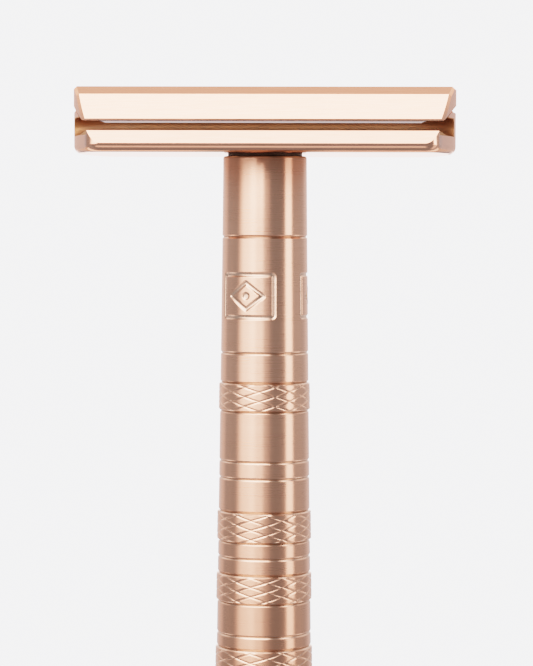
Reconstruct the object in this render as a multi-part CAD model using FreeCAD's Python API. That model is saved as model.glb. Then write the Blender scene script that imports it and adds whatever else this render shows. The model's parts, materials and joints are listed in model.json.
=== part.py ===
import FreeCAD, Part
import math
import os

# Three-piece double-edge safety razor, in millimetres.
#
# +Z is up, the razor stands on its handle and the origin is the centre of the handle's end face. The head's
# length runs along X. The head's section is drawn in the Y-Z plane, with its heights measured from the base
# plate's underside, and every section is symmetric about the handle's axis. The cap carries a threaded stud
# and two locating pins. They pass through the blade and the base plate, and the stud screws into the handle.

V = FreeCAD.Vector
Z_AXIS = V(0, 0, 1)

# Handle
HANDLE_LENGTH = 92.0
HANDLE_TOP_RADIUS = 4.94
HANDLE_END_RADIUS = 5.98
NECK_RADIUS = 4.97
TOP_CHAMFER = 0.38
FOOT_CHAMFER = 0.35
BAND_RAISE = 0.145
GROOVE_HALF_WIDTH = 0.22
GROOVE_DEPTH = 0.17
# Distances below the handle's top face: plain turned lines, and the two ends of each raised band.
LINE_DEPTHS = (9.5, 23.2, 36.0, 38.0, 47.4, 56.55, 63.5, 73.0, 75.0, 86.2)
BANDS = ((26.7, 30.1), (41.95, 45.55), (49.35, 52.75), (58.15, 61.65), (65.4, 68.9), (78.9, 82.4))
CENTRE_MARK = 0.9

# Engraved panels round the handle
PANEL_COUNT = 3
PANEL_FIRST_ANGLE = -24.0
PANEL_MIDDLE_DEPTH = 16.45
PANEL_WIDTH = 6.8
PANEL_HEIGHT = 5.0
PANEL_LINE = 0.5
PANEL_DEPTH = 0.15
LOZENGE_SHARE = 0.62

# Thread between the stud and the handle's insert, M5 x 0.8
PITCH = 0.8
STUD_RADIUS = 2.45
STUD_ROOT_RADIUS = 2.0
STUD_WAIST_RADIUS = 1.95
STUD_SHANK = 5.0
STUD_THREAD_BELOW_TOP = 6.7
STUD_RELIEF = 1.0
STUD_POINT = 0.45
INSERT_RADIUS = 3.6
INSERT_LENGTH = 10.0
INSERT_BORE = 2.1
INSERT_MOUTH = 0.6
THREAD_GAP = 0.1
CREST_HALF_WIDTH = 0.05
FLANK = math.tan(math.radians(30))

# Head
WASHER_THICKNESS = 0.2
WASHER_RADIUS = 4.4
WASHER_HOLE = 2.65
HEAD_HALF_LENGTH = 22.58
END_ARC_RADIUS = 29.0
CAP_HEIGHT = 7.8
CAP_FLAT = 5.0
CAP_SHOULDER = (7.2, 6.81)
CAP_EDGE = (10.2, 3.84)
CLAMP_RADIUS = 25.0
CLAMP_TOP = 5.8
EDGE_BREAK = 0.28
PLATE_HALF_WIDTH = 12.05
PLATE_TOP = 4.8
PLATE_CORNER = 2.1
PLATE_SHORTER = 0.05
GUARD_LIP = (11.3, 2.45)
GUARD_BROW = 0.99
GUARD_ROUND = 0.9
GUARD_SWEEP = (9.85, 2.13)
CLAMP_RIDGE = (6.0, 8.1)
RIDGE_RAMP = 0.5
RIDGE_NOSE = (0.12, 0.06)
CHANNEL_FRONT = 8.2
CHANNEL_FLOOR = 2.0
CHANNEL_ROOF = 4.0
CHANNEL_BACK = 5.9
STUD_HOLE = 2.55
PIN_SPACING = 30.6
PIN_RADIUS = 1.45
PIN_HOLE = 1.5
PIN_BLIND = 1.3
PIN_SEAT = 1.2
PIN_TIP_GAP = 0.3
PIN_TIP_CHAMFER = 0.35

# Blade, a standard double-edge blade bent over the plate
BLADE_THICKNESS = 0.1
BLADE_WIDTH = 22.0
BLADE_LENGTH = 43.0
BLADE_EDGE_LENGTH = 37.5
BLADE_CORNER = 0.7
BLADE_TAB_WIDTH = 13.2
BLADE_BEVEL = 0.75
BLADE_SLOT_LENGTH = 35.4
BLADE_SLOT_WIDTH = 2.0
BLADE_HOLES = ((0.0, 2.75), (-PIN_SPACING / 2, 1.65), (PIN_SPACING / 2, 1.65))
CONTACT_GAP = 0.02

HEAD_Z = HANDLE_LENGTH + WASHER_THICKNESS
CLAMP_CENTRE = CLAMP_TOP - CLAMP_RADIUS
REACH = 40.0
NEAR = 1e-6


def prism_along_x(edges):
    """Closed Y-Z outline, given as edges at x = 0, pushed out past both ends of the head."""
    face = Part.Face(Part.Wire(Part.__sortEdges__(edges)))
    solid = face.extrude(V(2 * REACH, 0, 0))
    solid.translate(V(-REACH, 0, 0))
    return solid


def section_edges(steps):
    """Edges of one half of a section, from steps of ("line", y, z) or ("arc", y, z, mid_y, mid_z)."""
    edges = []
    here = V(0, steps[0][1], steps[0][2])
    for step in steps[1:]:
        there = V(0, step[1], step[2])
        if step[0] == "line":
            edges.append(Part.LineSegment(here, there).toShape())
        else:
            edges.append(Part.Arc(here, V(0, step[3], step[4]), there).toShape())
        here = there
    return edges


def mirrored(edges):
    """The half section and its mirror image about the handle's axis."""
    return edges + [edge.mirror(V(0, 0, 0), V(0, 1, 0)) for edge in edges]


def clamp_height(y, radius):
    """Height of an arc of that radius about the centre of the blade's bend."""
    return CLAMP_CENTRE + math.sqrt(radius * radius - y * y)


def end_sagitta(y):
    """How far the head's bowed end falls back at a distance y from its middle."""
    return END_ARC_RADIUS - math.sqrt(END_ARC_RADIUS**2 - y * y)


def plan_prism(half_length, half_width, corner):
    """Tall prism with bowed ends and straight sides. corner rounds its four upright edges."""
    end = half_length - end_sagitta(half_width)
    corners = [V(-end, -half_width, 0), V(end, -half_width, 0), V(end, half_width, 0), V(-end, half_width, 0)]
    outline = [
        Part.LineSegment(corners[0], corners[1]).toShape(),
        Part.Arc(corners[1], V(half_length, 0, 0), corners[2]).toShape(),
        Part.LineSegment(corners[2], corners[3]).toShape(),
        Part.Arc(corners[3], V(-half_length, 0, 0), corners[0]).toShape(),
    ]
    prism = Part.Face(Part.Wire(outline)).extrude(V(0, 0, 2 * REACH))
    prism.translate(V(0, 0, -REACH))
    if corner:
        prism = prism.makeFillet(corner, upright_edges(prism))
    return prism


def end_edges(solid):
    """Edges that bound the bowed end faces, which are round about upright axes."""
    found = []
    for face in solid.Faces:
        surface = face.Surface
        if isinstance(surface, Part.Cylinder) and abs(surface.Radius - END_ARC_RADIUS) < NEAR:
            found += face.Edges
    return found


def upright_edges(solid):
    return [e for e in solid.Edges if abs(abs(e.tangentAt(e.FirstParameter).z) - 1) < NEAR]


def upright_block(length, width):
    """Tall block centred on the handle's axis, for cutting or trimming a sheet."""
    return Part.makeBox(length, width, REACH, V(-length / 2, -width / 2, 0))


def cylinder(radius, low, high, x=0.0):
    """Upright cylinder between two heights, on the handle's axis or at a distance x from it."""
    return Part.makeCylinder(radius, high - low, V(x, 0, low), Z_AXIS)


def lifted(shape, z):
    shape.translate(V(0, 0, z))
    return shape


def cap_solid():
    """Faceted cap, hollowed underneath to the radius that bends the blade."""
    edge_y, edge_z = CAP_EDGE
    under_z = clamp_height(edge_y, CLAMP_RADIUS)
    half = section_edges([
        ("start", 0, CAP_HEIGHT),
        ("line", CAP_FLAT, CAP_HEIGHT),
        ("line", *CAP_SHOULDER),
        ("line", edge_y, edge_z),
        ("line", edge_y, under_z),
        ("arc", 0, CLAMP_TOP, edge_y / 2, clamp_height(edge_y / 2, CLAMP_RADIUS)),
    ])
    body = prism_along_x(mirrored(half)).common(plan_prism(HEAD_HALF_LENGTH, edge_y, 0))
    upper = [e for e in end_edges(body) if e.BoundBox.ZMax > edge_z + NEAR]
    upper = [e for e in upper if e.BoundBox.ZMin > CLAMP_TOP or abs(e.CenterOfMass.y) > CAP_SHOULDER[0]]
    body = body.makeChamfer(EDGE_BREAK, upper)
    stud_seat = cylinder(STUD_ROOT_RADIUS, 0, CLAMP_TOP + PIN_SEAT)
    pin_seats = [cylinder(PIN_RADIUS, 0, CLAMP_TOP + PIN_SEAT, x) for x in pin_places()]
    for tool in [stud_seat, *pin_seats]:
        body = body.cut(tool)
    return lifted(body, HEAD_Z)


def pin_places():
    return (-PIN_SPACING / 2, PIN_SPACING / 2)


def pin_solid(x):
    """Locating pin, pressed into the cap, with a chamfered tip that finds the plate's hole."""
    low = PIN_BLIND + PIN_TIP_GAP
    pin = cylinder(PIN_RADIUS, low, CLAMP_TOP + PIN_SEAT, x)
    tip = [e for e in pin.Edges if abs(e.BoundBox.ZMax - low) < NEAR and e.Closed]
    return lifted(pin.makeChamfer(PIN_TIP_CHAMFER, tip), HEAD_Z)


def helix_solid(low, turns, outline):
    """Solid swept by a closed outline of (radius, height) points along a right-hand helix."""
    path = Part.makeHelix(PITCH, PITCH * turns, STUD_RADIUS)
    path.translate(V(0, 0, low))
    points = [V(radius, 0, low + height) for radius, height in outline]
    profile = Part.makePolygon(points + [points[0]])
    return Part.Wire(path.Edges).makePipeShell([profile], True, True)


def stud_bottom():
    return HANDLE_LENGTH - STUD_THREAD_BELOW_TOP


def stud_solid():
    """Threaded stud: a journal pressed into the cap, a plain shank, a relief and the thread."""
    low, shank_end = stud_bottom(), HEAD_Z + CLAMP_TOP - STUD_SHANK
    outside = STUD_RADIUS + CREST_HALF_WIDTH / 2
    root = PITCH / 2 - CREST_HALF_WIDTH - (STUD_RADIUS - STUD_ROOT_RADIUS) * FLANK
    mouth = root + (outside - STUD_ROOT_RADIUS) * FLANK
    outline = [(STUD_ROOT_RADIUS, -root), (outside, -mouth), (outside, mouth), (STUD_ROOT_RADIUS, root)]
    turns = (shank_end - STUD_RELIEF / 2 - low) / PITCH + 1
    thread = cylinder(STUD_RADIUS, low, shank_end).cut(helix_solid(low - PITCH, turns, outline))
    waist = cylinder(STUD_WAIST_RADIUS, shank_end - STUD_RELIEF, shank_end)
    relief = cylinder(REACH, shank_end - STUD_RELIEF, shank_end).cut(waist)
    point = Part.makeCone(STUD_RADIUS - STUD_POINT, STUD_RADIUS, STUD_POINT, V(0, 0, low), Z_AXIS)
    lead = cylinder(REACH, low, low + STUD_POINT).cut(point)
    shoulder = HEAD_Z + clamp_height(STUD_RADIUS, CLAMP_RADIUS) - CONTACT_GAP
    shank = cylinder(STUD_RADIUS, shank_end, shoulder)
    journal = cylinder(STUD_ROOT_RADIUS, shoulder, HEAD_Z + CLAMP_TOP + PIN_SEAT)
    return thread.cut(relief).cut(lead).fuse([shank, journal]).removeSplitter()


def insert_solid():
    """Threaded bush pressed into the top of the handle, its thread cut to clear the stud's all round."""
    low = HANDLE_LENGTH - INSERT_LENGTH
    tip = STUD_RADIUS + THREAD_GAP
    half = CREST_HALF_WIDTH
    inner = INSERT_BORE - THREAD_GAP
    spread = (tip - inner) * FLANK
    outline = [(inner, -half - spread), (tip, -half), (tip, half), (inner, half + spread)]
    first_crest = stud_bottom() - PITCH / 2
    start = first_crest - math.ceil((first_crest - low) / PITCH + 1) * PITCH
    turns = (HANDLE_LENGTH - start) / PITCH + 1
    bush = cylinder(INSERT_RADIUS, low, HANDLE_LENGTH).cut(helix_solid(start, turns, outline))
    bush = bush.cut(cylinder(INSERT_BORE, low, HANDLE_LENGTH))
    for z, way in ((HANDLE_LENGTH, V(0, 0, -1)), (low, Z_AXIS)):
        mouth = Part.makeCone(INSERT_BORE + INSERT_MOUTH, INSERT_BORE, INSERT_MOUTH, V(0, 0, z), way)
        bush = bush.cut(mouth)
    return bush


def plate_solid():
    """Base plate with clamping ridges, undercut lather channels and rounded guard bars."""
    under = CLAMP_RADIUS - 2 * CONTACT_GAP - BLADE_THICKNESS
    ridge_in, ridge_out = CLAMP_RIDGE
    mid = (ridge_in + ridge_out) / 2
    lip_y, lip_z = GUARD_LIP
    back_radius = (CHANNEL_ROOF - CHANNEL_FLOOR) / 2
    nose_y, nose_z = RIDGE_NOSE
    half = section_edges([
        ("start", 0, PLATE_TOP),
        ("line", ridge_in - RIDGE_RAMP, PLATE_TOP),
        ("line", ridge_in, clamp_height(ridge_in, under)),
        ("arc", ridge_out, clamp_height(ridge_out, under), mid, clamp_height(mid, under)),
        ("line", ridge_out, CHANNEL_ROOF + nose_z),
        ("line", ridge_out - nose_y, CHANNEL_ROOF),
        ("line", CHANNEL_BACK, CHANNEL_ROOF),
        ("arc", CHANNEL_BACK, CHANNEL_FLOOR, CHANNEL_BACK - back_radius, CHANNEL_FLOOR + back_radius),
        ("line", CHANNEL_FRONT, CHANNEL_FLOOR),
        ("arc", lip_y, lip_z, *GUARD_SWEEP),
        ("line", PLATE_HALF_WIDTH, GUARD_BROW),
        ("line", PLATE_HALF_WIDTH, 0),
        ("line", 0, 0),
    ])
    body = prism_along_x(mirrored(half))
    body = body.common(plan_prism(HEAD_HALF_LENGTH - PLATE_SHORTER, PLATE_HALF_WIDTH, PLATE_CORNER))
    body = body.makeFillet(GUARD_ROUND, [e for e in body.Edges if e.BoundBox.ZMax < NEAR])
    body = body.cut(cylinder(STUD_HOLE, -1, PLATE_TOP + 1))
    for x in pin_places():
        body = body.cut(cylinder(PIN_HOLE, PIN_BLIND, PLATE_TOP + 1, x))
    return lifted(body, HEAD_Z)


def blade_section():
    """Bent blade's section: two arcs, drawn in to a ground edge at each side."""
    outer = CLAMP_RADIUS - CONTACT_GAP
    inner, middle = outer - BLADE_THICKNESS, outer - BLADE_THICKNESS / 2
    tip = BLADE_WIDTH / 2 / middle
    heel = (BLADE_WIDTH / 2 - BLADE_BEVEL) / middle

    def at(radius, angle):
        return V(0, radius * math.sin(angle), CLAMP_CENTRE + radius * math.cos(angle))

    return [
        Part.Arc(at(outer, -heel), at(outer, 0), at(outer, heel)).toShape(),
        Part.LineSegment(at(outer, heel), at(middle, tip)).toShape(),
        Part.LineSegment(at(middle, tip), at(inner, heel)).toShape(),
        Part.Arc(at(inner, heel), at(inner, 0), at(inner, -heel)).toShape(),
        Part.LineSegment(at(inner, -heel), at(middle, -tip)).toShape(),
        Part.LineSegment(at(middle, -tip), at(outer, -heel)).toShape(),
    ]


def blade_chord():
    """Width of the bent blade, straight across from edge to edge."""
    middle = CLAMP_RADIUS - CONTACT_GAP - BLADE_THICKNESS / 2
    return 2 * middle * math.sin(BLADE_WIDTH / 2 / middle)


def blade_solid():
    """Blade with clipped corners, its two end tabs, the long slot and the three holes."""
    wide = upright_block(BLADE_EDGE_LENGTH, blade_chord())
    wide = wide.makeChamfer(BLADE_CORNER, upright_edges(wide))
    tabs = upright_block(BLADE_LENGTH, BLADE_TAB_WIDTH)
    tabs = tabs.makeFillet(BLADE_CORNER, upright_edges(tabs))
    slot = upright_block(BLADE_SLOT_LENGTH, BLADE_SLOT_WIDTH)
    blade = prism_along_x(blade_section()).common(wide.fuse(tabs)).cut(slot)
    for x, radius in BLADE_HOLES:
        blade = blade.cut(cylinder(radius, 0, REACH, x))
    return lifted(blade, HEAD_Z)


def washer_solid():
    ring = cylinder(WASHER_RADIUS, HANDLE_LENGTH, HEAD_Z)
    return ring.cut(cylinder(WASHER_HOLE, HANDLE_LENGTH, HEAD_Z))


def handle_radius(depth):
    """Plain radius of the handle at a distance below its top face: a parallel neck, then an even taper."""
    if depth < LINE_DEPTHS[0]:
        return NECK_RADIUS
    return HANDLE_TOP_RADIUS + (HANDLE_END_RADIUS - HANDLE_TOP_RADIUS) * depth / HANDLE_LENGTH


def handle_outline():
    """(radius, depth) points down the outside of the handle: lines, and bands between two lines."""
    points = [(NECK_RADIUS - TOP_CHAMFER, 0.0), (NECK_RADIUS, TOP_CHAMFER)]
    events = [(depth, "line") for depth in LINE_DEPTHS]
    for top, bottom in BANDS:
        events += [(top, "top"), (bottom, "bottom")]
    half = GROOVE_HALF_WIDTH
    for depth, kind in sorted(events):
        radius = handle_radius(depth)
        above = radius + (BAND_RAISE if kind == "bottom" else 0)
        below = radius + (BAND_RAISE if kind == "top" else 0)
        points += [(above, depth - half), (radius - GROOVE_DEPTH, depth), (below, depth + half)]
    points.append((HANDLE_END_RADIUS, HANDLE_LENGTH - FOOT_CHAMFER))
    points.append((HANDLE_END_RADIUS - FOOT_CHAMFER, HANDLE_LENGTH))
    return points


def panel_tool(angle):
    """Cutter for one engraved panel: a rectangular line with a lozenge line inside it."""
    middle = HANDLE_LENGTH - PANEL_MIDDLE_DEPTH
    wall = handle_radius(PANEL_MIDDLE_DEPTH)
    half_width, half_height = wall * math.sin(PANEL_WIDTH / 2 / wall), PANEL_HEIGHT / 2

    def ring(outer, inner):
        faces = []
        for points in (outer, inner):
            corners = [V(x, 0, middle + z) for x, z in points]
            faces.append(Part.Face(Part.makePolygon(corners + [corners[0]])))
        return faces[0].cut(faces[1]).extrude(V(0, -REACH, 0))

    def box(grow):
        w, h = half_width + grow, half_height + grow
        return [(-w, -h), (w, -h), (w, h), (-w, h)]

    def lozenge(grow):
        w, h = half_width * LOZENGE_SHARE, half_height * LOZENGE_SHARE
        side = math.hypot(w, h)
        w, h = w + grow * side / h, h + grow * side / w
        return [(-w, 0), (0, -h), (w, 0), (0, h)]

    skin = cylinder(REACH, middle - REACH, middle + REACH).cut(
        cylinder(wall - PANEL_DEPTH, middle - REACH, middle + REACH))
    line = PANEL_LINE / 2
    tool = ring(box(line), box(-line)).fuse(ring(lozenge(line), lozenge(-line))).common(skin)
    tool.rotate(V(0, 0, 0), Z_AXIS, angle)
    return tool


def handle_solid():
    """Turned handle with its lines, bands and panels, a pocket for the insert and a lathe centre's mark."""
    outline = [V(radius, 0, HANDLE_LENGTH - depth) for radius, depth in handle_outline()]
    outline = [V(0, 0, HANDLE_LENGTH), *outline, V(0, 0, 0)]
    body = Part.Face(Part.makePolygon(outline + [outline[0]])).revolve(V(0, 0, 0), Z_AXIS, 360)
    for number in range(PANEL_COUNT):
        body = body.cut(panel_tool(PANEL_FIRST_ANGLE + number * 360 / PANEL_COUNT))
    body = body.cut(cylinder(INSERT_RADIUS, HANDLE_LENGTH - INSERT_LENGTH, HANDLE_LENGTH))
    return body.cut(Part.makeCone(CENTRE_MARK, 0, CENTRE_MARK, V(0, 0, 0), Z_AXIS))


PARTS = {
    "top_cap": cap_solid,
    "cap_stud": stud_solid,
    "cap_pin_left": lambda: pin_solid(pin_places()[0]),
    "cap_pin_right": lambda: pin_solid(pin_places()[1]),
    "blade": blade_solid,
    "base_plate": plate_solid,
    "neck_washer": washer_solid,
    "handle_body": handle_solid,
    "thread_insert": insert_solid,
}

os.makedirs("parts", exist_ok=True)
for name, make in PARTS.items():
    shape = make()
    print(name, "valid", shape.isValid(), "solids", len(shape.Solids), "mm3", round(shape.Volume, 3))
    shape.exportStep(f"parts/{name}.step")
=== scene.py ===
import json
import math

import bpy
import numpy as np
from mathutils import Matrix, Vector

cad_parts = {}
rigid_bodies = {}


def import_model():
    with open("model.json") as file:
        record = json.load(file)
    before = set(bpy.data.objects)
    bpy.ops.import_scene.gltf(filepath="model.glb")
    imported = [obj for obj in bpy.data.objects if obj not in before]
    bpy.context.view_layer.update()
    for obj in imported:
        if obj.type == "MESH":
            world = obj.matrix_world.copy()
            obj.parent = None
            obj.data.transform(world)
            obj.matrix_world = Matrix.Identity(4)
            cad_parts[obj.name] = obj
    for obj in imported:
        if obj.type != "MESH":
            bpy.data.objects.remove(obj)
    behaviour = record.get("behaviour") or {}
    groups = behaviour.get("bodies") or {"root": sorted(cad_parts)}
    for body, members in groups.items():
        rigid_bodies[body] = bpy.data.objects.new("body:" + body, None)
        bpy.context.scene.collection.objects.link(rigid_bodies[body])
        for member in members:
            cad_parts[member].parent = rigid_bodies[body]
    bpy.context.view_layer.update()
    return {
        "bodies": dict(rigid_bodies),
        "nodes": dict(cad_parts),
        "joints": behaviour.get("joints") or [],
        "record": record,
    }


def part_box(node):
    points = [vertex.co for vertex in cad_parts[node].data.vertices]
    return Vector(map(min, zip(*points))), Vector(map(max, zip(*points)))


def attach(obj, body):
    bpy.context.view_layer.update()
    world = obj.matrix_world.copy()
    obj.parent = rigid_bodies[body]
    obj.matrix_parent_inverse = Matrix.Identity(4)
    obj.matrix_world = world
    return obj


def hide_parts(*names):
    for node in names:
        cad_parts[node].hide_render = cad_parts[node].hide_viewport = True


# Double-edge safety razor in copper-toned metal, standing on its handle. Sizes are in millimetres, and MM
# turns them into Blender's metres. Angles are in degrees, and round the handle they go from -Y towards +X.

MM = 0.001

# Handle, as the CAD model has it but for its rounded top edge. Depths are measured down from its top face.
NECK_RADIUS = 4.97
TAPER_TOP_RADIUS = 4.94
TOP_ROUNDING = 0.3
FOOT_CHAMFER = 0.35
BAND_RAISE = 0.145
LINE_DEPTHS = (9.5, 23.2, 36.0, 38.0, 47.4, 56.55, 63.5, 73.0, 75.0, 86.2)
POCKET_RADIUS = 3.6
POCKET_DEPTH = 10.0
CENTRE_MARK = 0.9

# Turned grooves. Their walls have rows at these shares of the half width, and an exponent rounds the walls.
GROOVE_HALF_WIDTH = 0.22
GROOVE_DEPTH = 0.17
GROOVE_STEPS = (-1.0, -0.6, -0.25, 0.0, 0.25, 0.6, 1.0)
GROOVE_ROUNDING = 0.75

# Mesh fineness: columns round the handle, how many fine columns each of them has beside the panels, steps of
# the rounded top edge, and the angle from which an edge is drawn sharp
COLUMNS = 144
FINE = 3
EDGE_STEPS = 4
SHARP_ANGLE = 28.0

# Raised bands: top, bottom, angle of one crossing of the engraved lattice, and its distance below the top.
BANDS = (
    (26.7, 30.1, -5.0, 0.985),
    (41.95, 45.55, 5.0, 0.29),
    (49.35, 52.75, 5.0, 0.73),
    (58.15, 61.65, 5.0, 0.89),
    (65.4, 68.9, 5.0, 0.45),
    (78.9, 82.4, -5.0, 0.985),
)

# Lattice: cells round the handle, their height, and the distance between the mesh's rows. A line's half width
# and the least gap to the band's grooves are counted in such rows.
LATTICE_CELLS = 9
LATTICE_PITCH = 1.125
LATTICE_STEP = LATTICE_PITCH * LATTICE_CELLS / COLUMNS
LATTICE_DEPTH = 0.08
LATTICE_HALF_STEPS = 1.5
LATTICE_CLEARANCE = 0.2

# Engraved panels round the neck
PANEL_COUNT = 3
PANEL_FIRST_ANGLE = -24.0
PANEL_MIDDLE_DEPTH = 16.45
PANEL_WIDTH = 6.8
PANEL_HEIGHT = 5.0
PANEL_CORNER = 0.3
PANEL_LINE = 0.5
PANEL_DEPTH = 0.15
PANEL_MARGIN = 0.45
PANEL_ROW = 0.08
LOZENGE_SHARE = 0.62
DOT_RADIUS = 0.2

# Matt lather channels of the base plate: heights above its underside, distances from the handle's axis, and
# how soft the finish's edge is
CHANNEL_BACK = 4.8
CHANNEL_LIP = 11.25
CHANNEL_FLOOR = 1.95
CHANNEL_TOP = 4.1
# From this distance out to the plate's ends, painted shade darkens the channels
CHANNEL_END = 15.5
CHANNEL_SOFTNESS = 0.05

# Where the other finishes and painted shades change: the band along the long edges of the base plate's
# underside that painted shade darkens, the painted shade round the neck (its reach in neck radii), the
# blade's ground bevel, darkened by painted shade, the heights between which painted shade darkens the handle
# towards the foot, and the depth at which a cut takes its full painted shade
UNDER_BORDER = 2.6
BORDER_SHARPNESS = 0.8
NECK_SHADE_HEIGHT = 0.4
NECK_SHADE_REACH = 1.8
BLADE_GROUND = 9.9
GROUND_SOFTNESS = 0.05
FOOT_SHADE_FROM = 75.0
FOOT_SHADE_FULL = 25.0
CUT_FULL = 0.06

# Finishes. Lines, grain and speckle are in cycles per mm along X, Y and Z, relief is the height of the finest
# marks, and "facing" is a range of how squarely a surface faces along an axis.
TONE_RANGE = (0.3, 0.7)
LATHE_LINES = (0.25, 0.25, 14.0)
LATHE_BANDS = (0.12, 0.12, 1.6)
LATHE_LINES_SHARE = 0.65
LATHE_ROUGHNESS = (0.25, 0.31)
LATHE_ANISOTROPY = 0.9
LATHE_TURN = 0.25
LATHE_RELIEF = 0.0009
HEAD_GRAIN = (0.3, 7.0, 7.0)
HEAD_ROUGHNESS = (0.13, 0.2)
HEAD_RELIEF = 0.0015
SAWN_SPECKLE = (9.0, 9.0, 9.0)
SAWN_SHARE = (0.5, 1.1)
SAWN_FACING = (0.7, 0.85)
SAWN_ROUGHER = 0.22
CHANNEL_ROUGHER = 0.3
CHANNEL_LESS_METAL = 0.35
LAPPED_FACING = (-0.99, -0.93)
LAPPED_SMOOTHER = 0.13
LEAST_ROUGHNESS = 0.03
STEEL_RELIEF = 0.002
MACHINED_LINES = (0.4, 0.4, 8.0)
MACHINED_ROUGHNESS = (0.22, 0.34)
BLADE_LINES = (9.0, 0.5, 0.5)
BLADE_ROUGHNESS = (0.12, 0.2)
GROUND_ROUGHER = 0.35
WASHER_GRAIN = (6.0, 6.0, 6.0)
WASHER_ROUGHNESS = (0.45, 0.65)
WASHER_RELIEF = 0.01
FLOOR_ROUGHNESS = 0.9

# Colours, as linear red, green, blue and opacity
COPPER = (0.64, 0.342, 0.238, 1.0)
COPPER_DEEP = (0.60, 0.315, 0.216, 1.0)
# Painted shade: the handle's copper towards the foot
FOOT_PAINTED_SHADE = (0.53, 0.26, 0.172, 1.0)
# Painted shade: a duller copper in the cuts and on the handle's rounded top edge under the head
CUT_PAINTED_SHADE = (0.55, 0.355, 0.262, 1.0)
HEAD_COPPER = (0.68, 0.345, 0.24, 1.0)
HEAD_COPPER_DEEP = (0.63, 0.31, 0.21, 1.0)
MILLED_PINK = (0.56, 0.41, 0.37, 1.0)
EDGE_TINT = (0.95, 0.72, 0.62, 1.0)
CHANNEL_COPPER = (0.54, 0.385, 0.27, 1.0)
# Painted shade at the open ends of the lather channels
CHANNEL_END_PAINTED_SHADE = (0.22, 0.10, 0.045, 1.0)
# Painted shade along the long edges of the plate's underside
UNDER_EDGE_PAINTED_SHADE = (0.40, 0.24, 0.18, 1.0)
# Painted shade on the plate's underside round the neck
NECK_PAINTED_SHADE = (0.34, 0.245, 0.185, 1.0)
STEEL = (0.60, 0.61, 0.63, 1.0)
STEEL_DEEP = (0.48, 0.49, 0.51, 1.0)
# Painted shade: the blade's ground bevel, seen in the dark gap between cap and guard
GROUND_PAINTED_SHADE = (0.20, 0.22, 0.24, 1.0)
# Painted shade: the washer's dark brown stands for the shade in the crevice under the head
WASHER_PAINTED_SHADE = (0.19, 0.11, 0.07, 1.0)
WASHER_PAINTED_SHADE_DEEP = (0.13, 0.075, 0.048, 1.0)
FLOOR_PALE = (0.8, 0.8, 0.8, 1.0)
BACKDROP_TINT = (0.965, 0.965, 1.0, 1.0)
ROOM_TINT = (0.92, 1.06, 1.18, 1.0)
PANEL_TINT = (1.09, 0.925, 0.895, 1.0)

# Camera, as the photograph was taken. The sidestep and the roll stand for the slight lean of the razor there.
LENS = 136.5
CAMERA_DISTANCE = 300.0
CAMERA_AZIMUTH = 1.5
CAMERA_HEIGHT = 84.24
TARGET_HEIGHT = 71.04
CAMERA_SIDESTEP = 0.225
CAMERA_ROLL = 0.15

# Studio: light by its direction, seen from the razor. "azimuth" goes round it: 0 is towards the camera, and
# negative is to the left. "elevation" is above the horizon. "tilt" goes over the top: 0 is in front, 90
# overhead and 180 behind, and it is negative from the front round underneath. "side" is how far a direction
# leans to the right. Each panel adds its radiance where all of its ranges hold. A range is (from, to,
# softness at its start, softness at its end), and a softness of None leaves that end open.
ROOM_RADIANCE = 0.41
BACKDROP_RADIANCE = 2.6
DEGREE = 180 / math.pi
LIGHT_PANELS = {
    "key_left": (5.1, {"azimuth": (-67, -42, 24, 14), "elevation": (-4, 42, 8, 14)}),
    "key_middle": (8.0, {"azimuth": (-42, -24, 14, 14), "elevation": (0, 42, 6, 14)}),
    "key_right": (8.6, {"azimuth": (-24, -4, 14, 12), "elevation": (8, 42, 6, 14)}),
    "key_fringe": (3.0, {"azimuth": (-10, 12, 12, 12), "elevation": (16, 42, 6, 14)}),
    "side_strip": (5.6, {"azimuth": (58, 78, 4, 4), "elevation": (-5, 60, 6, 20)}),
    "side_strip_low": (1.0, {"azimuth": (58, 80, 4, 4), "elevation": (-60, -4, 20, 4)}),
    "side_spill": (0.24, {"azimuth": (78, 128, 4, 10), "elevation": (-70, 60, 20, 20)}),
    "left_spill": (0.15, {"azimuth": (-128, -64, 10, 20), "elevation": (-70, 60, 20, 20)}),
    "overhead": (6.5, {
        "tilt": (76, 108, 12, 14), "elevation": (46, 90, 8, None), "side": (-38, 10, 8, 8)
    }),
    "overhead_left": (8.0, {
        "tilt": (42, 76, 6, 12), "elevation": (42, 90, 8, None), "side": (-38, -10, 8, 3)
    }),
    "overhead_front": (5.6, {
        "tilt": (45, 76, 6, 12), "elevation": (46, 90, 8, None), "side": (-10, 10, 3, 8)
    }),
    "overhead_back": (0.95, {"tilt": (112, 160, 10, 20), "elevation": (20, 90, 10, None)}),
    "front_floor": (1.0, {"tilt": (-52, -27, 6, 6), "side": (-30, 12, 10, 8)}),
    "back_floor": (1.7, {"tilt": (-138, -110, 6, 8), "elevation": (-90, -30, None, 8)}),
    "backdrop_left": (0.7, {"azimuth": (-166, -124, 8, 18), "elevation": (-60, 40, 20, 20)}),
    "backdrop_right": (0.6, {"azimuth": (130, 166, 20, 8), "elevation": (-60, 40, 20, 20)}),
    "backdrop_far_left": (2.1, {"azimuth": (-180, -166, None, 8), "elevation": (-6, 30, 2, 10)}),
    "backdrop_far_right": (2.1, {"azimuth": (166, 180, 8, None), "elevation": (-6, 30, 2, 10)}),
}
FLOOR_RADIUS = 150.0
FLOOR_FADE = 120.0
FLOOR_CORNERS = 96


# ---------------------------------------------------------------- shader helpers

def put(tree, value, socket):
    """Links another node's output to a socket, or sets the socket to a plain value."""
    if isinstance(value, bpy.types.NodeSocket):
        tree.links.new(value, socket)
    else:
        socket.default_value = value


def maths(tree, operation, *values):
    made = tree.nodes.new("ShaderNodeMath")
    made.operation = operation
    for socket, value in zip(made.inputs, values):
        put(tree, value, socket)
    return made.outputs[0]


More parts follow.
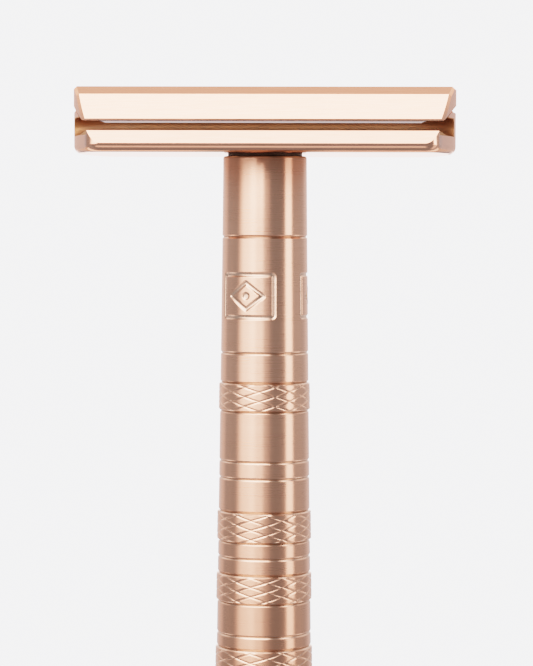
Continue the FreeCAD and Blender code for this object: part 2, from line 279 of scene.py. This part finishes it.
def ramp_between(tree, value, low, high, at_low=0.0, at_high=1.0):
    """at_low below low, at_high above high and a smooth step between."""
    made = tree.nodes.new("ShaderNodeMapRange")
    made.interpolation_type = "SMOOTHSTEP"
    tree.links.new(value, made.inputs["Value"])
    made.inputs["From Min"].default_value = low
    made.inputs["From Max"].default_value = high
    made.inputs["To Min"].default_value = at_low
    made.inputs["To Max"].default_value = at_high
    return made.outputs["Result"]


def mix_colour(tree, factor, first, second):
    made = tree.nodes.new("ShaderNodeMix")
    made.data_type = "RGBA"
    put(tree, factor, made.inputs[0])
    put(tree, first, made.inputs[6])
    put(tree, second, made.inputs[7])
    return made.outputs[2]


def streaks(tree, per_mm):
    """Noise in the piece's own space, from 0 to 1. Its fineness along X, Y and Z is in cycles per mm."""
    scaled = tree.nodes.new("ShaderNodeMapping")
    scaled.inputs["Scale"].default_value = [fineness / MM for fineness in per_mm]
    tree.links.new(tree.nodes.new("ShaderNodeTexCoord").outputs["Object"], scaled.inputs["Vector"])
    noise = tree.nodes.new("ShaderNodeTexNoise")
    noise.inputs["Scale"].default_value = 1.0
    noise.inputs["Detail"].default_value = 2.0
    tree.links.new(scaled.outputs["Vector"], noise.inputs["Vector"])
    return noise.outputs["Fac"]


def along_axis(tree, kind, axis):
    """Along one of the piece's own axes: the place in metres for "Object", or for "Normal" how squarely the
    surface faces that way, from -1 to 1."""
    split = tree.nodes.new("ShaderNodeSeparateXYZ")
    tree.links.new(tree.nodes.new("ShaderNodeTexCoord").outputs[kind], split.inputs[0])
    return split.outputs[axis]


def within(tree, value, low, high, soft):
    """1 while value lies between low and high, with a soft edge at each end."""
    rise = ramp_between(tree, value, low - soft / 2, low + soft / 2)
    fall = ramp_between(tree, value, high - soft / 2, high + soft / 2, 1.0, 0.0)
    return maths(tree, "MULTIPLY", rise, fall)


def tones(tree, noise, deep, bright):
    """Two tones of one colour, laid out by a noise."""
    return mix_colour(tree, ramp_between(tree, noise, *TONE_RANGE), deep, bright)


def blank_material(name):
    material = bpy.data.materials.new(name)
    material.use_nodes = True
    tree = material.node_tree
    return material, tree, tree.nodes["Principled BSDF"]


def feed(tree, shader, **inputs):
    """Fills the shader's inputs, whose names are written with underscores for spaces."""
    for name, value in inputs.items():
        put(tree, value, shader.inputs[name.replace("_", " ")])


def bump(tree, height, distance_mm):
    made = tree.nodes.new("ShaderNodeBump")
    made.inputs["Strength"].default_value = 1.0
    made.inputs["Distance"].default_value = distance_mm * MM
    tree.links.new(height, made.inputs["Height"])
    return made.outputs["Normal"]


def spread(tree, value, low, high):
    """A 0 to 1 value drawn out to run from low to high."""
    return maths(tree, "MULTIPLY_ADD", value, high - low, low)


# ---------------------------------------------------------------- materials

def turned_copper():
    """Satin copper with fine lathe lines round the handle, darkened towards the foot by painted shade, and
    duller with painted shade where it is cut into and on its rounded top edge."""
    material, tree, shader = blank_material("copper_turned")
    fine = streaks(tree, LATHE_LINES)
    broad = streaks(tree, LATHE_BANDS)
    faint = maths(tree, "MULTIPLY", broad, 1 - LATHE_LINES_SHARE)
    both = maths(tree, "MULTIPLY_ADD", fine, LATHE_LINES_SHARE, faint)
    tangent = tree.nodes.new("ShaderNodeTangent")
    tangent.direction_type = "RADIAL"
    tangent.axis = "Z"
    cut = tree.nodes.new("ShaderNodeAttribute")
    cut.attribute_name = "cut"
    height = along_axis(tree, "Object", "Z")
    # Painted shade that darkens the handle towards the foot
    foot_shade_share = ramp_between(tree, height, FOOT_SHADE_FULL * MM, FOOT_SHADE_FROM * MM, 1.0, 0.0)
    colour = mix_colour(tree, foot_shade_share, tones(tree, both, COPPER_DEEP, COPPER), FOOT_PAINTED_SHADE)
    # Where the surface is cut in, and on the rounded top edge, the colour turns to a painted shade
    feed(tree, shader, Metallic=1.0,
         Base_Color=mix_colour(tree, cut.outputs["Fac"], colour, CUT_PAINTED_SHADE),
         Roughness=spread(tree, both, *LATHE_ROUGHNESS),
         Anisotropic=LATHE_ANISOTROPY, Anisotropic_Rotation=LATHE_TURN,
         Tangent=tangent.outputs[0],
         Normal=bump(tree, fine, LATHE_RELIEF))
    return material


def head_grain(tree):
    """The head's fine grain, and the colour and roughness that it and the rougher sawn ends give."""
    grain = streaks(tree, HEAD_GRAIN)
    speckle = streaks(tree, SAWN_SPECKLE)
    end = ramp_between(tree, maths(tree, "ABSOLUTE", along_axis(tree, "Normal", "X")), *SAWN_FACING)
    sawn = maths(tree, "MULTIPLY", end, spread(tree, speckle, *SAWN_SHARE))
    colour = mix_colour(tree, sawn, tones(tree, grain, HEAD_COPPER_DEEP, HEAD_COPPER), MILLED_PINK)
    rougher = maths(tree, "MULTIPLY", end, SAWN_ROUGHER)
    rough = maths(tree, "ADD", spread(tree, grain, *HEAD_ROUGHNESS), rougher)
    return grain, colour, rough


def cap_copper():
    """Polished copper with a fine grain along the head and rougher sawn ends."""
    material, tree, shader = blank_material("copper_cap")
    grain, colour, rough = head_grain(tree)
    feed(tree, shader, Metallic=1.0, Base_Color=colour, Roughness=rough, Specular_Tint=EDGE_TINT,
         Normal=bump(tree, grain, HEAD_RELIEF))
    return material


def plate_copper():
    """The cap's copper, with matt lather channels that painted shade darkens towards their ends, a lapped
    underside whose long edges are darkened by painted shade, and painted shade round the neck."""
    material, tree, shader = blank_material("copper_plate")
    low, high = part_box("base_plate")
    grain, colour, rough = head_grain(tree)
    along = maths(tree, "ABSOLUTE", along_axis(tree, "Object", "X"))
    across = maths(tree, "ABSOLUTE", along_axis(tree, "Object", "Y"))
    height = along_axis(tree, "Object", "Z")

    beside = within(tree, across, CHANNEL_BACK * MM, CHANNEL_LIP * MM, CHANNEL_SOFTNESS * MM)
    floor, top = low.z + CHANNEL_FLOOR * MM, low.z + CHANNEL_TOP * MM
    channel = maths(tree, "MULTIPLY", beside, within(tree, height, floor, top, CHANNEL_SOFTNESS * MM))
    # Painted shade that darkens the channels towards their open ends
    end_shade_share = ramp_between(tree, along, CHANNEL_END * MM, high.x)
    colour = mix_colour(tree, channel, colour, mix_colour(tree, end_shade_share, CHANNEL_COPPER, CHANNEL_END_PAINTED_SHADE))

    # Painted shade on the underside round the neck, where the handle meets it
    neck_shade_share = ramp_between(tree, along, NECK_RADIUS * MM, NECK_SHADE_REACH * NECK_RADIUS * MM, 1.0, 0.0)
    lowest = ramp_between(tree, height, low.z, low.z + NECK_SHADE_HEIGHT * MM, 1.0, 0.0)
    colour = mix_colour(tree, maths(tree, "MULTIPLY", neck_shade_share, lowest), colour, NECK_PAINTED_SHADE)

    # Painted shade: the underside darkened along its long edges, where they show as a dark line
    under = ramp_between(tree, along_axis(tree, "Normal", "Z"), *LAPPED_FACING, 1.0, 0.0)
    edge_shade_share = ramp_between(tree, across, high.y - UNDER_BORDER * MM,
                          high.y - BORDER_SHARPNESS * UNDER_BORDER * MM)
    colour = mix_colour(tree, maths(tree, "MULTIPLY", under, edge_shade_share), colour, UNDER_EDGE_PAINTED_SHADE)

    rough = maths(tree, "ADD", rough, maths(tree, "MULTIPLY", channel, CHANNEL_ROUGHER))
    rough = maths(tree, "MULTIPLY_ADD", under, -LAPPED_SMOOTHER, rough)
    rough = maths(tree, "MAXIMUM", rough, LEAST_ROUGHNESS)
    metal = maths(tree, "MULTIPLY_ADD", channel, -CHANNEL_LESS_METAL, 1.0)
    relief = maths(tree, "MULTIPLY", grain, maths(tree, "SUBTRACT", 1.0, channel))
    feed(tree, shader, Metallic=metal, Base_Color=colour, Roughness=rough, Specular_Tint=EDGE_TINT,
         Normal=bump(tree, relief, HEAD_RELIEF))
    return material


def machined_steel():
    """Turned steel with fine lines round its axis."""
    material, tree, shader = blank_material("steel_machined")
    lines = streaks(tree, MACHINED_LINES)
    feed(tree, shader, Metallic=1.0,
         Base_Color=tones(tree, lines, STEEL_DEEP, STEEL),
         Roughness=spread(tree, lines, *MACHINED_ROUGHNESS),
         Normal=bump(tree, lines, STEEL_RELIEF))
    return material


def blade_steel():
    """Polished blade with a matt ground bevel along both edges, darkened there by painted shade."""
    material, tree, shader = blank_material("steel_blade")
    lines = streaks(tree, BLADE_LINES)
    across = maths(tree, "ABSOLUTE", along_axis(tree, "Object", "Y"))
    ground = ramp_between(tree, across, BLADE_GROUND * MM, (BLADE_GROUND + GROUND_SOFTNESS) * MM)
    polish = spread(tree, lines, *BLADE_ROUGHNESS)
    # The ground bevel's dark colour is painted shade, and its added roughness is its finish
    feed(tree, shader, Metallic=1.0,
         Base_Color=mix_colour(tree, ground, tones(tree, lines, STEEL_DEEP, STEEL), GROUND_PAINTED_SHADE),
         Roughness=maths(tree, "MULTIPLY_ADD", ground, GROUND_ROUGHER, polish),
         Normal=bump(tree, lines, STEEL_RELIEF))
    return material


def painted_shade_washer():
    """Ring in the gap under the head, dull dark brown as painted shade of that crevice."""
    material, tree, shader = blank_material("washer_painted_shade")
    grain = streaks(tree, WASHER_GRAIN)
    feed(tree, shader,
         Base_Color=mix_colour(tree, grain, WASHER_PAINTED_SHADE_DEEP, WASHER_PAINTED_SHADE),
         Roughness=spread(tree, grain, *WASHER_ROUGHNESS),
         Normal=bump(tree, grain, WASHER_RELIEF))
    return material


def dress(target, material):
    """Gives a piece one material in place of all that it had."""
    target.data.materials.clear()
    target.data.materials.append(material)


# ---------------------------------------------------------------- handle

def plain_radius(depth, length, end_radius):
    """Radius of the plain handle: a parallel neck down to the first line, then an even taper."""
    if depth < LINE_DEPTHS[0]:
        return NECK_RADIUS
    return TAPER_TOP_RADIUS + (end_radius - TAPER_TOP_RADIUS) * depth / length


def column_angles(columns):
    return np.arange(columns) * 2 * math.pi / columns


def lattice_offsets(depth, band):
    """Signed distances, in lattice rows, from each column at a depth to the nearest line of either slant."""
    top, _, crossing_angle, crossing_drop = band
    per_pitch = COLUMNS / LATTICE_CELLS
    rows = (depth - top - crossing_drop) / LATTICE_STEP
    turns = (np.degrees(column_angles(COLUMNS)) - crossing_angle) * COLUMNS / 360
    falling = (rows - turns + per_pitch / 2) % per_pitch - per_pitch / 2
    rising = (rows + turns + per_pitch / 2) % per_pitch - per_pitch / 2
    return falling, rising


def lattice_cut(depth, band):
    """Depth of the engraved lattice at every column of a row."""
    nearest = np.minimum(*[np.abs(offset) for offset in lattice_offsets(depth, band)])
    return LATTICE_DEPTH * np.clip(1 - nearest / LATTICE_HALF_STEPS, 0, None)


def panel_cut(depth, wall):
    """Depth of the engraved panels at every fine column of a row, with round-bottomed lines."""
    half_width, half_height = PANEL_WIDTH / 2, PANEL_HEIGHT / 2
    angles = np.degrees(column_angles(COLUMNS * FINE)) - PANEL_FIRST_ANGLE
    apart = 360 / PANEL_COUNT
    across = np.abs(np.radians((angles + apart / 2) % apart - apart / 2) * wall)
    along = abs(depth - PANEL_MIDDLE_DEPTH)
    over_x, over_y = across - half_width + PANEL_CORNER, along - half_height + PANEL_CORNER
    outside = np.hypot(np.maximum(over_x, 0), np.maximum(over_y, 0))
    frame = np.abs(outside + np.minimum(np.maximum(over_x, over_y), 0) - PANEL_CORNER)
    wide, high = half_width * LOZENGE_SHARE, half_height * LOZENGE_SHARE
    share = np.clip(((wide - across) * wide + along * high) / (wide * wide + high * high), 0, 1)
    lozenge = np.hypot(across - wide * (1 - share), along - high * share)
    dot = np.maximum(np.hypot(across, along) - DOT_RADIUS, 0)
    nearest = np.minimum(np.minimum(frame, lozenge), dot)
    half_line = PANEL_LINE / 2
    cutter = (half_line**2 + PANEL_DEPTH**2) / (2 * PANEL_DEPTH)
    inside = np.minimum(nearest, half_line)
    return np.sqrt(cutter**2 - inside**2) - (cutter - PANEL_DEPTH)


def handle_rows(length, end_radius):
    """Rows down the handle as (depth, radii, band or None), with one radius per column."""
    def ring(depth, radius):
        return (depth, np.full(COLUMNS, radius), None)

    rows = [ring(POCKET_DEPTH, 0.0), ring(POCKET_DEPTH, POCKET_RADIUS), ring(0, POCKET_RADIUS)]
    for step in range(EDGE_STEPS + 1):
        turn = math.pi / 2 * step / EDGE_STEPS
        radius = NECK_RADIUS - TOP_ROUNDING * (1 - math.sin(turn))
        rows.append(ring(TOP_ROUNDING * (1 - math.cos(turn)), radius))
    events = [(depth, "line", None) for depth in LINE_DEPTHS]
    for band in BANDS:
        events += [(band[0], "top", band), (band[1], "bottom", band)]
    panel_top = PANEL_MIDDLE_DEPTH - PANEL_HEIGHT / 2 - PANEL_MARGIN
    events.append((panel_top, "panels", None))
    for depth, kind, band in sorted(events, key=lambda event: event[0]):
        if kind == "panels":
            rows += panel_rows(panel_top, length, end_radius)
            continue
        plain = plain_radius(depth, length, end_radius)
        for share in GROOVE_STEPS:
            here = depth + share * GROOVE_HALF_WIDTH
            raised = (kind == "top" and share > 0) or (kind == "bottom" and share < 0)
            rim = plain + (BAND_RAISE if raised else 0)
            radius = plain - GROOVE_DEPTH + (rim - plain + GROOVE_DEPTH) * abs(share)**GROOVE_ROUNDING
            radii = np.full(COLUMNS, radius)
            if raised:
                radii = np.minimum(radii, rim - lattice_cut(here, band))
            rows.append((here, radii, band if raised and abs(share) == 1 else None))
        if kind == "top":
            rows += band_rows(band, length, end_radius)
    rows += [ring(length - FOOT_CHAMFER, end_radius), ring(length, end_radius - FOOT_CHAMFER)]
    rows += [ring(length, CENTRE_MARK), ring(length - CENTRE_MARK, 0.0)]
    return rows


def band_rows(band, length, end_radius):
    """The lattice's own rows, spaced so that every line runs from corner to corner of the mesh."""
    top, bottom, _, crossing_drop = band
    crossing = top + crossing_drop
    first = (top + GROOVE_HALF_WIDTH - crossing) / LATTICE_STEP + LATTICE_CLEARANCE
    last = (bottom - GROOVE_HALF_WIDTH - crossing) / LATTICE_STEP - LATTICE_CLEARANCE
    rows = []
    for number in range(math.ceil(first), math.floor(last) + 1):
        depth = crossing + number * LATTICE_STEP
        rim = plain_radius(depth, length, end_radius) + BAND_RAISE
        rows.append((depth, rim - lattice_cut(depth, band), band))
    return rows


def panel_rows(top, length, end_radius):
    """Finer rows and columns where the panels are engraved, between two rows of the usual columns."""
    count = round(2 * (PANEL_MIDDLE_DEPTH - top) / PANEL_ROW)
    wall = plain_radius(PANEL_MIDDLE_DEPTH, length, end_radius)
    rows = []
    for number in range(count + 1):
        depth = top + 2 * (PANEL_MIDDLE_DEPTH - top) * number / count
        plain = plain_radius(depth, length, end_radius)
        engraved = 0 < number < count
        rows.append((depth, plain - panel_cut(depth, wall) if engraved else np.full(COLUMNS, plain), None))
    return rows


def row_points(depth, radii, length):
    """A row's points in metres, or its one point on the axis."""
    if radii[0] == 0:
        return [(0.0, 0.0, (length - depth) * MM)]
    angles = column_angles(len(radii))
    heights = np.full(len(radii), length - depth)
    points = np.stack([radii * np.sin(angles), -radii * np.cos(angles), heights], 1)
    return [tuple(point) for point in points * MM]


def join_rows(upper, lower, split):
    """Faces between two rows of vertex numbers. split says, per column, whether the cut that halves a face
    falls or rises; without it the faces stay whole."""
    faces = []
    if len(upper) == 1 or len(lower) == 1:
        rim = lower if len(upper) == 1 else upper
        for i in range(len(rim)):
            pair = (rim[i], rim[(i + 1) % len(rim)])
            faces.append((upper[0], *pair) if len(upper) == 1 else (pair[0], lower[0], pair[1]))
        return faces
    columns = min(len(upper), len(lower))
    fine_up, fine_low = len(upper) // columns, len(lower) // columns
    for i in range(columns):
        top = [upper[(i * fine_up + k) % len(upper)] for k in range(fine_up + 1)]
        low = [lower[(i * fine_low + k) % len(lower)] for k in range(fine_low + 1)]
        if split is None:
            faces.append((top[0], *low, *reversed(top[1:])))
        elif split[i]:
            faces += [(top[0], low[0], low[1]), (top[0], low[1], top[1])]
        else:
            faces += [(top[0], low[0], top[1]), (low[0], low[1], top[1])]
    return faces


def lattice_split(depth, band):
    """For the faces below a row: True where the nearest line falls from left to right."""
    falling, _ = lattice_offsets(depth, band)
    _, rising = lattice_offsets(depth + LATTICE_STEP, band)
    return np.abs(falling) <= np.abs(rising)


def soften_panels(mesh, length):
    """Keeps the engraved panels' round-bottomed lines smooth, whatever their steepness."""
    reach = PANEL_HEIGHT / 2 + PANEL_MARGIN - PANEL_ROW / 2
    middle = (length - PANEL_MIDDLE_DEPTH) * MM
    heights = np.empty(len(mesh.vertices) * 3)
    mesh.vertices.foreach_get("co", heights)
    inside = np.abs(heights[2::3] - middle) < reach * MM
    ends = np.empty(len(mesh.edges) * 2, int)
    mesh.edges.foreach_get("vertices", ends)
    sharp = np.empty(len(mesh.edges), bool)
    mesh.edges.foreach_get("use_edge_sharp", sharp)
    sharp &= ~inside[ends.reshape(-1, 2)].all(1)
    mesh.edges.foreach_set("use_edge_sharp", sharp)


def mark_cuts(mesh, rows, length, end_radius):
    """Stores how deeply each vertex is cut into the turned surface: 0 on it, 1 from CUT_FULL down."""
    cuts = []
    for depth, radii, _ in rows:
        banded = any(top <= depth <= bottom for top, bottom, _, _ in BANDS)
        rim = plain_radius(depth, length, end_radius) + (BAND_RAISE if banded else 0)
        share = np.clip((rim - radii) / CUT_FULL, 0, 1)
        cuts += [share[0]] if radii[0] == 0 else list(share)
    mesh.attributes.new("cut", "FLOAT", "POINT").data.foreach_set("value", cuts)


def build_handle():
    """The handle's detailed mesh: turned lines, raised bands with their lattice, panels and the pocket."""
    low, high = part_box("handle_body")
    length, end_radius = high.z / MM, high.x / MM
    points, faces, numbers = [], [], []
    rows = handle_rows(length, end_radius)
    for depth, radii, _ in rows:
        made = row_points(depth, radii, length)
        numbers.append(list(range(len(points), len(points) + len(made))))
        points += made
    for k in range(len(rows) - 1):
        band, next_band = rows[k][2], rows[k + 1][2]
        split = lattice_split(rows[k][0], band) if band and next_band is band else None
        faces += join_rows(numbers[k], numbers[k + 1], split)
    mesh = bpy.data.meshes.new("handle_turned")
    mesh.from_pydata(points, [], faces)
    mesh.polygons.foreach_set("use_smooth", [True] * len(mesh.polygons))
    mesh.update()
    mesh.set_sharp_from_angle(angle=math.radians(SHARP_ANGLE))
    soften_panels(mesh, length)
    mark_cuts(mesh, rows, length, end_radius)
    piece = bpy.data.objects.new("handle_turned", mesh)
    bpy.context.scene.collection.objects.link(piece)
    return piece


# ---------------------------------------------------------------- studio

def build_camera():
    azimuth = math.radians(CAMERA_AZIMUTH)
    aside = Vector((math.cos(azimuth), math.sin(azimuth), 0)) * CAMERA_SIDESTEP
    eye = Vector((math.sin(azimuth) * CAMERA_DISTANCE, -math.cos(azimuth) * CAMERA_DISTANCE, CAMERA_HEIGHT))
    aim = Vector((0, 0, TARGET_HEIGHT))
    data = bpy.data.cameras.new("camera")
    data.lens = LENS
    data.clip_start, data.clip_end = 0.01, 20
    camera = bpy.data.objects.new("camera", data)
    bpy.context.scene.collection.objects.link(camera)
    camera.location = (eye + aside) * MM
    turn = (aim - eye).to_track_quat("-Z", "Y").to_matrix()
    camera.rotation_euler = (turn @ Matrix.Rotation(math.radians(CAMERA_ROLL), 3, "Z")).to_euler()
    bpy.context.scene.camera = camera


def build_world():
    """Soft panels of light all round, by direction. The camera itself sees one even pale backdrop."""
    world = bpy.data.worlds.new("studio")
    bpy.context.scene.world = world
    world.use_nodes = True
    tree = world.node_tree
    tree.nodes.clear()
    split = tree.nodes.new("ShaderNodeSeparateXYZ")
    tree.links.new(tree.nodes.new("ShaderNodeTexCoord").outputs["Generated"], split.inputs[0])
    forwards = maths(tree, "MULTIPLY", split.outputs["Y"], -1.0)
    turned = maths(tree, "MULTIPLY", maths(tree, "ARCTAN2", split.outputs["X"], forwards), DEGREE)
    measures = {
        "azimuth": maths(tree, "SUBTRACT", turned, CAMERA_AZIMUTH),
        "elevation": maths(tree, "MULTIPLY", maths(tree, "ARCSINE", split.outputs["Z"]), DEGREE),
        "tilt": maths(tree, "MULTIPLY", maths(tree, "ARCTAN2", split.outputs["Z"], forwards), DEGREE),
        "side": maths(tree, "MULTIPLY", maths(tree, "ARCSINE", split.outputs["X"]), DEGREE),
    }
    total = None
    for radiance, ranges in LIGHT_PANELS.values():
        share = radiance
        for measure, (start, end, soft_start, soft_end) in ranges.items():
            value = measures[measure]
            if soft_start is not None:
                rise = ramp_between(tree, value, start - soft_start / 2, start + soft_start / 2)
                share = maths(tree, "MULTIPLY", rise, share)
            if soft_end is not None:
                fall = ramp_between(tree, value, end - soft_end / 2, end + soft_end / 2, 1, 0)
                share = maths(tree, "MULTIPLY", fall, share)
        total = share if total is None else maths(tree, "ADD", total, share)
    colour = mix_colour(tree, ramp_between(tree, total, 0.0, 2 * ROOM_RADIANCE), ROOM_TINT, PANEL_TINT)
    total = maths(tree, "ADD", total, ROOM_RADIANCE)
    seen = tree.nodes.new("ShaderNodeBackground")
    seen.inputs["Color"].default_value = BACKDROP_TINT
    seen.inputs["Strength"].default_value = BACKDROP_RADIANCE
    lit = tree.nodes.new("ShaderNodeBackground")
    tree.links.new(total, lit.inputs["Strength"])
    tree.links.new(colour, lit.inputs["Color"])
    either = tree.nodes.new("ShaderNodeMixShader")
    tree.links.new(tree.nodes.new("ShaderNodeLightPath").outputs["Is Camera Ray"], either.inputs[0])
    tree.links.new(lit.outputs[0], either.inputs[1])
    tree.links.new(seen.outputs[0], either.inputs[2])
    output = tree.nodes.new("ShaderNodeOutputWorld")
    tree.links.new(either.outputs[0], output.inputs["Surface"])


def build_floor():
    """Pale round floor that fades into the backdrop, so that no edge shows from any side."""
    points = [(0, 0, 0)]
    for i in range(FLOOR_CORNERS):
        angle = 2 * math.pi * i / FLOOR_CORNERS
        points.append((FLOOR_RADIUS * MM * math.cos(angle), FLOOR_RADIUS * MM * math.sin(angle), 0))
    faces = [(0, 1 + i, 1 + (i + 1) % FLOOR_CORNERS) for i in range(FLOOR_CORNERS)]
    mesh = bpy.data.meshes.new("floor")
    mesh.from_pydata(points, [], faces)
    floor = bpy.data.objects.new("floor", mesh)
    bpy.context.scene.collection.objects.link(floor)
    floor.visible_glossy = False
    material, tree, shader = blank_material("floor_pale")
    place = tree.nodes.new("ShaderNodeTexCoord").outputs["Object"]
    length = tree.nodes.new("ShaderNodeVectorMath")
    length.operation = "LENGTH"
    tree.links.new(place, length.inputs[0])
    inner, outer = (FLOOR_RADIUS - FLOOR_FADE) * MM, FLOOR_RADIUS * MM
    fade = ramp_between(tree, length.outputs["Value"], inner, outer, 1.0, 0.0)
    feed(tree, shader, Base_Color=FLOOR_PALE, Roughness=FLOOR_ROUGHNESS, Specular_IOR_Level=0.0, Alpha=fade)
    dress(floor, material)


def build_tone():
    view = bpy.context.scene.view_settings
    view.view_transform = "Filmic"
    view.look = "High Contrast"


# ---------------------------------------------------------------- the model

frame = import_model()
nodes = frame["nodes"]

handle = build_handle()
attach(handle, "handle")
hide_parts("handle_body")
dress(handle, turned_copper())

dress(nodes["top_cap"], cap_copper())
dress(nodes["base_plate"], plate_copper())
machined = machined_steel()
for name in ("cap_stud", "cap_pin_left", "cap_pin_right", "thread_insert"):
    dress(nodes[name], machined)
dress(nodes["blade"], blade_steel())
dress(nodes["neck_washer"], painted_shade_washer())

build_world()
build_floor()
build_tone()
build_camera()
